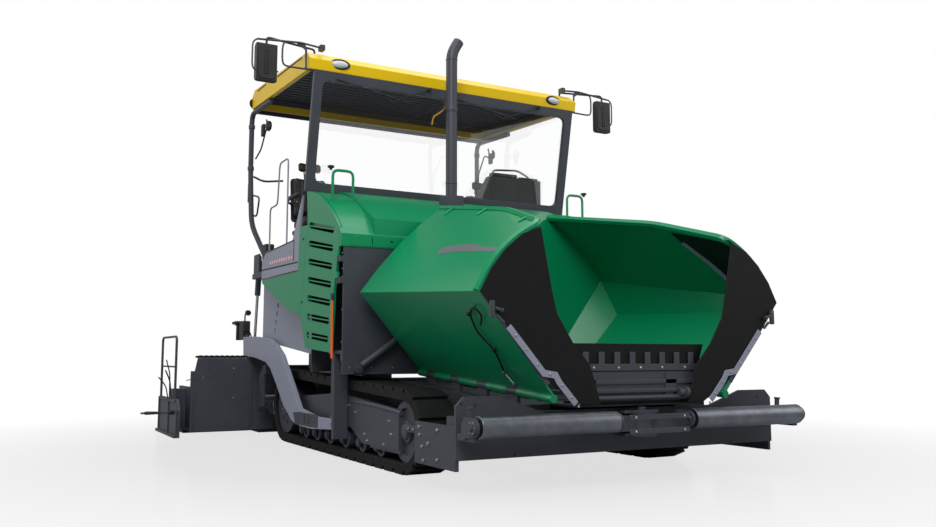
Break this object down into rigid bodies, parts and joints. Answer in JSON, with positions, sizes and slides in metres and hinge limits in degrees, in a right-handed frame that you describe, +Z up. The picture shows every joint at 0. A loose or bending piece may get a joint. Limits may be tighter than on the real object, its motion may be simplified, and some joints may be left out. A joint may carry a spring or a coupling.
{
  "type": "tracked asphalt paver",
  "caption": "Tracked asphalt paver with folding hopper wings, push rollers, tow arms, augers, an extending screed, louvred engine hood and a yellow roof over the operator's platform.",
  "frame": {"origin": "on the ground under the middle of the whole machine", "axes": "+X to the machine's left, -Y towards the hopper and push rollers, +Y towards the screed, +Z up"},
  "size_m": [5.24, 6.552, 4.1349],
  "materials": {
    "green_enamel": "gloss green enamel, light dust in the corners",
    "yellow_enamel": "smooth gloss yellow enamel",
    "graphite_paint": "satin dark grey chassis paint",
    "silver_grey_paint": "satin light blue-grey paint",
    "black_rubber": "matt black reinforced rubber",
    "worn_steel": "bare steel worn bright by the mix",
    "chromed_rod": "hard chrome cylinder rod",
    "screen_glass": "clear laminated safety glass",
    "seat_vinyl": "black moulded foam with a vinyl skin",
    "black_plastic": "moulded black plastic"
  },
  "bodies": {
    "root": {"chassis_frame": "graphite_paint", "crossbeam": "graphite_paint", "conveyor_floor": "graphite_paint", "hopper_apron": "black_rubber", "apron_clamp": "graphite_paint", "engine_housing": "graphite_paint", "engine_block": "graphite_paint", "hood": "green_enamel", "side_panel_right": "green_enamel", "side_panel_left": "green_enamel", "platform_side_right": "silver_grey_paint", "platform_side_left": "silver_grey_paint", "rear_housing": "silver_grey_paint", "platform_floor": "graphite_paint", "windscreen_frame": "graphite_paint", "windscreen_glass": "screen_glass", "roof": "yellow_enamel", "roof_lining": "graphite_paint", "rear_frame": "graphite_paint", "mirror_right": "black_plastic", "mirror_left": "black_plastic", "exhaust_pipe": "graphite_paint", "track_right": "black_rubber", "track_left": "black_rubber", "track_frame_right": "graphite_paint", "track_frame_left": "graphite_paint", "levelling_post_right": "silver_grey_paint", "levelling_post_left": "silver_grey_paint", "auger_drive": "graphite_paint"},
    "push_bar": {"push_bar": "graphite_paint"},
    "tow_points": {"tow_slider_right": "worn_steel", "tow_slider_left": "worn_steel"},
    "screed": {"tow_arm_right": "silver_grey_paint", "tow_arm_left": "silver_grey_paint", "screed_frame": "graphite_paint"},
    "console": {"control_console": "black_plastic"},
    "push_roller_right": {"push_roller_right": "worn_steel"},
    "wing_ram_barrel_right": {"wing_ram_barrel_right": "graphite_paint"},
    "wing_ram_rod_right": {"wing_ram_rod_right": "chromed_rod"},
    "screed_extension_right": {"screed_extension_right": "graphite_paint"},
    "end_gate_right": {"end_gate_right": "graphite_paint"},
    "auger_right": {"auger_right": "worn_steel"},
    "side_door_right": {"side_door_right": "green_enamel"},
    "seat_right": {"seat_right": "seat_vinyl"},
    "lift_ram_barrel_right": {"lift_ram_barrel_right": "graphite_paint"},
    "lift_ram_rod_right": {"lift_ram_rod_right": "chromed_rod"},
    "wing_right": {"wing_right": "green_enamel", "wing_rubber_right": "black_rubber"},
    "push_roller_left": {"push_roller_left": "worn_steel"},
    "wing_ram_barrel_left": {"wing_ram_barrel_left": "graphite_paint"},
    "wing_ram_rod_left": {"wing_ram_rod_left": "chromed_rod"},
    "screed_extension_left": {"screed_extension_left": "graphite_paint"},
    "end_gate_left": {"end_gate_left": "graphite_paint"},
    "auger_left": {"auger_left": "worn_steel"},
    "side_door_left": {"side_door_left": "green_enamel"},
    "seat_left": {"seat_left": "seat_vinyl"},
    "lift_ram_barrel_left": {"lift_ram_barrel_left": "graphite_paint"},
    "lift_ram_rod_left": {"lift_ram_rod_left": "chromed_rod"},
    "wing_left": {"wing_left": "green_enamel", "wing_rubber_left": "black_rubber"}
  },
  "joints": [
    {"name": "push_bar_swing", "type": "hinge", "parent": "root", "child": "push_bar", "pos_m": [0, -3.06, 0.425], "axis": [0, 0, 1], "range_deg": [-3, 3]},
    {"name": "tow_point_level", "type": "slide", "parent": "root", "child": "tow_points", "axis": [0, 0, 1], "range_m": [0, 0.1]},
    {"name": "screed_lift", "type": "hinge", "parent": "tow_points", "child": "screed", "pos_m": [0, -0.6, 0.3], "axis": [1, 0, 0], "range_deg": [0, 7]},
    {"name": "console_slide", "type": "slide", "parent": "root", "child": "console", "axis": [1, 0, 0], "range_m": [-1.9, 0]},
    {"name": "push_roller_spin_right", "type": "hinge", "parent": "push_bar", "child": "push_roller_right", "pos_m": [-0.345, -3.198, 0.452], "axis": [1, 0, 0], "continuous": true},
    {"name": "wing_fold_right", "type": "hinge", "parent": "root", "child": "wing_right", "pos_m": [-0.787, -3.1, 0.613], "axis": [0, -0.9975, -0.0704], "range_deg": [-8, 40]},
    {"name": "wing_ram_tilt_right", "type": "hinge", "parent": "root", "child": "wing_ram_barrel_right", "pos_m": [-1.34, -0.95, 0.8], "axis": [0, -1, 0], "range_deg": [-3.15, 15.65]},
    {"name": "wing_ram_slide_right", "type": "slide", "parent": "wing_ram_barrel_right", "child": "wing_ram_rod_right", "axis": [0.8248, 0, 0.5654], "range_m": [-0.2745, 0.0555]},
    {"name": "screed_extend_right", "type": "slide", "parent": "screed", "child": "screed_extension_right", "axis": [-1, 0, 0], "range_m": [-0.75, 0.4]},
    {"name": "end_gate_lift_right", "type": "slide", "parent": "screed_extension_right", "child": "end_gate_right", "axis": [0, 0, 1], "range_m": [0, 0.15]},
    {"name": "auger_spin_right", "type": "hinge", "parent": "root", "child": "auger_right", "pos_m": [-0.075, 1.95, 0.42], "axis": [1, 0, 0], "continuous": true},
    {"name": "side_door_swing_right", "type": "hinge", "parent": "root", "child": "side_door_right", "pos_m": [-1.504, -0.85, 1.3], "axis": [0, 0, 1], "range_deg": [0, 90]},
    {"name": "seat_swivel_right", "type": "hinge", "parent": "root", "child": "seat_right", "pos_m": [-1.1, 0.95, 1.85], "axis": [0, 0, 1], "range_deg": [-20, 20]},
    {"name": "lift_ram_tilt_right", "type": "hinge", "parent": "root", "child": "lift_ram_barrel_right", "pos_m": [-1.37, 2.16, 2.05], "axis": [1, 0, 0], "range_deg": [-5.8, 0.05]},
    {"name": "lift_ram_slide_right", "type": "slide", "parent": "lift_ram_barrel_right", "child": "lift_ram_rod_right", "axis": [0, 0.14, -0.9901], "range_m": [-0.3585, 0.0005]},
    {"name": "push_roller_spin_left", "type": "hinge", "parent": "push_bar", "child": "push_roller_left", "pos_m": [0.345, -3.198, 0.452], "axis": [1, 0, 0], "continuous": true},
    {"name": "wing_fold_left", "type": "hinge", "parent": "root", "child": "wing_left", "pos_m": [0.787, -3.1, 0.613], "axis": [0, 0.9975, 0.0704], "range_deg": [-8, 40]},
    {"name": "wing_ram_tilt_left", "type": "hinge", "parent": "root", "child": "wing_ram_barrel_left", "pos_m": [1.34, -0.95, 0.8], "axis": [0, 1, 0], "range_deg": [-3.15, 15.65]},
    {"name": "wing_ram_slide_left", "type": "slide", "parent": "wing_ram_barrel_left", "child": "wing_ram_rod_left", "axis": [-0.8248, 0, 0.5654], "range_m": [-0.2745, 0.0555]},
    {"name": "screed_extend_left", "type": "slide", "parent": "screed", "child": "screed_extension_left", "axis": [1, 0, 0], "range_m": [-0.75, 0.4]},
    {"name": "end_gate_lift_left", "type": "slide", "parent": "screed_extension_left", "child": "end_gate_left", "axis": [0, 0, 1], "range_m": [0, 0.15]},
    {"name": "auger_spin_left", "type": "hinge", "parent": "root", "child": "auger_left", "pos_m": [0.075, 1.95, 0.42], "axis": [1, 0, 0], "continuous": true},
    {"name": "side_door_swing_left", "type": "hinge", "parent": "root", "child": "side_door_left", "pos_m": [1.504, -0.85, 1.3], "axis": [0, 0, -1], "range_deg": [0, 90]},
    {"name": "seat_swivel_left", "type": "hinge", "parent": "root", "child": "seat_left", "pos_m": [1.1, 0.95, 1.85], "axis": [0, 0, 1], "range_deg": [-20, 20]},
    {"name": "lift_ram_tilt_left", "type": "hinge", "parent": "root", "child": "lift_ram_barrel_left", "pos_m": [1.37, 2.16, 2.05], "axis": [1, 0, 0], "range_deg": [-5.8, 0.05]},
    {"name": "lift_ram_slide_left", "type": "slide", "parent": "lift_ram_barrel_left", "child": "lift_ram_rod_left", "axis": [0, 0.14, -0.9901], "range_m": [-0.3585, 0.0005]}
  ],
  "couplings": [
    {"joint": "wing_ram_tilt_right", "follows": "wing_fold_right", "ratio": 0.39},
    {"joint": "wing_ram_slide_right", "follows": "wing_fold_right", "m_per_rad": -0.392},
    {"joint": "lift_ram_tilt_right", "follows": "screed_lift", "ratio": -0.82},
    {"joint": "lift_ram_slide_right", "follows": "screed_lift", "m_per_rad": -2.93},
    {"joint": "wing_ram_tilt_left", "follows": "wing_fold_left", "ratio": 0.39},
    {"joint": "wing_ram_slide_left", "follows": "wing_fold_left", "m_per_rad": -0.392},
    {"joint": "lift_ram_tilt_left", "follows": "screed_lift", "ratio": -0.82},
    {"joint": "lift_ram_slide_left", "follows": "screed_lift", "m_per_rad": -2.93}
  ]
}
